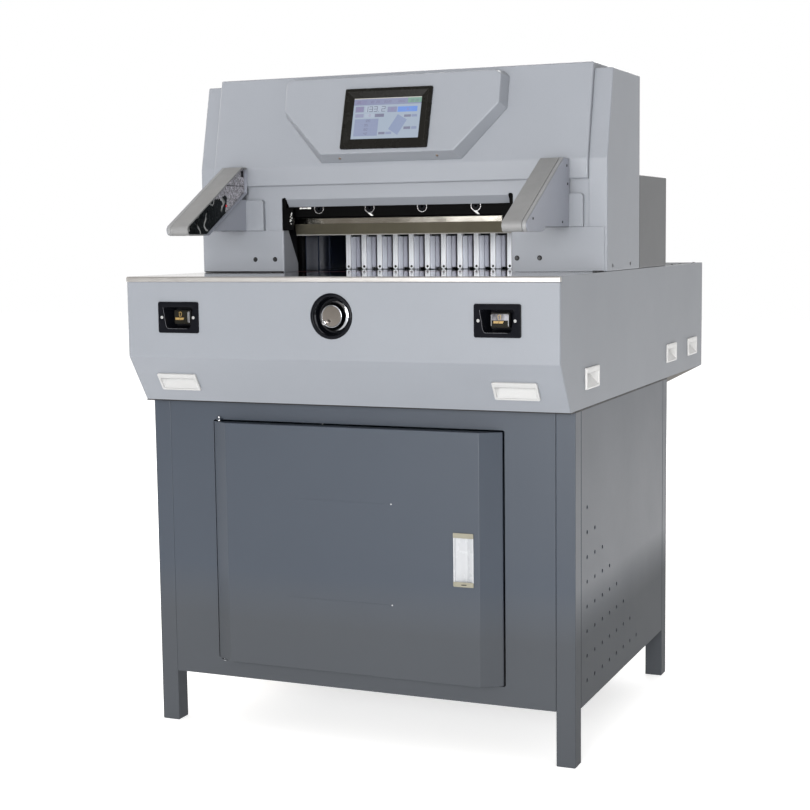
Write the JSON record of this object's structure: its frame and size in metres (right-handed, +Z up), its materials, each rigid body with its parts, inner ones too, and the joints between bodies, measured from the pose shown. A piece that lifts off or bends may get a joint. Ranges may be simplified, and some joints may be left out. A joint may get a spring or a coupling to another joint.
{
  "type": "electric paper cutter",
  "caption": "Floor-standing electric paper cutter: cabinet base with a door, long table, guarded head with knife, clamp, back gauge, two cut keys, a gauge wheel and a display.",
  "frame": {"origin": "middle of the machine's footprint, on the floor", "axes": "+Z up, the operator stands at -Y and faces +Y, +X to the operator's right"},
  "size_m": [0.888, 1.147, 1.307],
  "materials": {
    "slate_paint": "satin dark slate paint",
    "grey_paint": "satin light bluish grey paint",
    "arm_plastic": "matte warm grey",
    "white_plastic": "satin white",
    "black_plastic": "semi-gloss black",
    "chrome": "polished",
    "polished_steel": "polished",
    "dark_casting": "painted dark",
    "alloy": "milled",
    "red_plastic": "satin red",
    "smoked_glass": "smoked, glossy",
    "screen_glass": "lit screen under clear glass",
    "belt_rubber": "matte"
  },
  "bodies": {
    "machine": {"base_frame": "slate_paint", "front_panel": "slate_paint", "left_panel": "slate_paint", "right_panel": "slate_paint", "rear_panel": "slate_paint", "base_floor": "slate_paint", "door_pin": "polished_steel", "power_inlet": "black_plastic", "apron": "grey_paint", "left_skirt": "grey_paint", "right_skirt": "grey_paint", "rear_deck": "grey_paint", "table_plate": "polished_steel", "front_trim": "chrome", "cutting_stick": "red_plastic", "finger_pull_front_left": "white_plastic", "finger_pull_front_right": "white_plastic", "finger_pull_left_1": "white_plastic", "finger_pull_left_2": "white_plastic", "finger_pull_left_3": "white_plastic", "finger_pull_right_1": "white_plastic", "finger_pull_right_2": "white_plastic", "finger_pull_right_3": "white_plastic", "cut_bezel_left": "black_plastic", "cut_bezel_right": "black_plastic", "wheel_cup": "black_plastic", "hood": "grey_paint", "front_cover": "grey_paint", "rear_box": "grey_paint", "side_cover_left": "grey_paint", "side_cover_right": "grey_paint", "guard_left": "grey_paint", "guard_right": "grey_paint", "arm_shell_left": "arm_plastic", "arm_shell_right": "arm_plastic", "arm_window_left": "smoked_glass", "arm_window_right": "smoked_glass", "arm_bracket_left": "grey_paint", "arm_bracket_right": "grey_paint", "display_panel": "grey_paint", "display_bezel": "black_plastic", "screen": "screen_glass", "bed": "dark_casting", "press_frame": "dark_casting", "knife_motor": "dark_casting", "drive_belt": "belt_rubber", "gauge_motor": "dark_casting"},
    "door": {"door": "slate_paint", "door_pull": "white_plastic"},
    "cut_key_left": {"cut_key_left": "black_plastic"},
    "cut_key_right": {"cut_key_right": "black_plastic"},
    "gauge": {"back_gauge": "alloy"},
    "wheel": {"hand_wheel": "chrome", "gauge_screw": "polished_steel"},
    "finger_grip": {"finger_grip": "chrome"},
    "knife": {"knife_beam": "dark_casting", "knife": "polished_steel"},
    "knife_screw": {"knife_screw": "polished_steel"},
    "clamp": {"clamp_beam": "dark_casting"},
    "clamp_screw": {"clamp_screw": "polished_steel"}
  },
  "joints": [
    {"name": "door_hinge", "type": "hinge", "parent": "machine", "child": "door", "pos_m": [-0.29, -0.4755, 0.382], "axis": [0, 0, -1], "range_deg": [0, 110]},
    {"name": "cut_key_left_press", "type": "slide", "parent": "machine", "child": "cut_key_left", "axis": [0, 1, 0], "range_m": [0, 0.005], "stiffness_N_per_m": 800},
    {"name": "cut_key_right_press", "type": "slide", "parent": "machine", "child": "cut_key_right", "axis": [0, 1, 0], "range_m": [0, 0.005], "stiffness_N_per_m": 800},
    {"name": "gauge_slide", "type": "slide", "parent": "machine", "child": "gauge", "axis": [0, 1, 0], "range_m": [-0.14, 0.16]},
    {"name": "wheel_turn", "type": "hinge", "parent": "machine", "child": "wheel", "pos_m": [0, -0.5615, 0.835], "axis": [0, 1, 0], "range_deg": [-5100, 5800]},
    {"name": "finger_grip_spin", "type": "hinge", "parent": "wheel", "child": "finger_grip", "pos_m": [-0.01, -0.5615, 0.8235], "axis": [0, 1, 0], "continuous": true},
    {"name": "knife_slide", "type": "slide", "parent": "machine", "child": "knife", "axis": [0, 0, -1], "range_m": [0, 0.075]},
    {"name": "knife_screw_turn", "type": "hinge", "parent": "machine", "child": "knife_screw", "pos_m": [-0.06, -0.23425, 1.204], "axis": [0, 0, -1], "range_deg": [-10, 2760]},
    {"name": "clamp_slide", "type": "slide", "parent": "machine", "child": "clamp", "axis": [0, 0, -1], "range_m": [0, 0.075]},
    {"name": "clamp_screw_turn", "type": "hinge", "parent": "machine", "child": "clamp_screw", "pos_m": [0.06, -0.1865, 1.215], "axis": [0, 0, -1], "range_deg": [-10, 2760]}
  ],
  "couplings": [
    {"joint": "wheel_turn", "follows": "gauge_slide", "rad_per_m": 628.32},
    {"joint": "knife_screw_turn", "follows": "knife_slide", "rad_per_m": 628.32},
    {"joint": "clamp_screw_turn", "follows": "clamp_slide", "rad_per_m": 628.32}
  ]
}
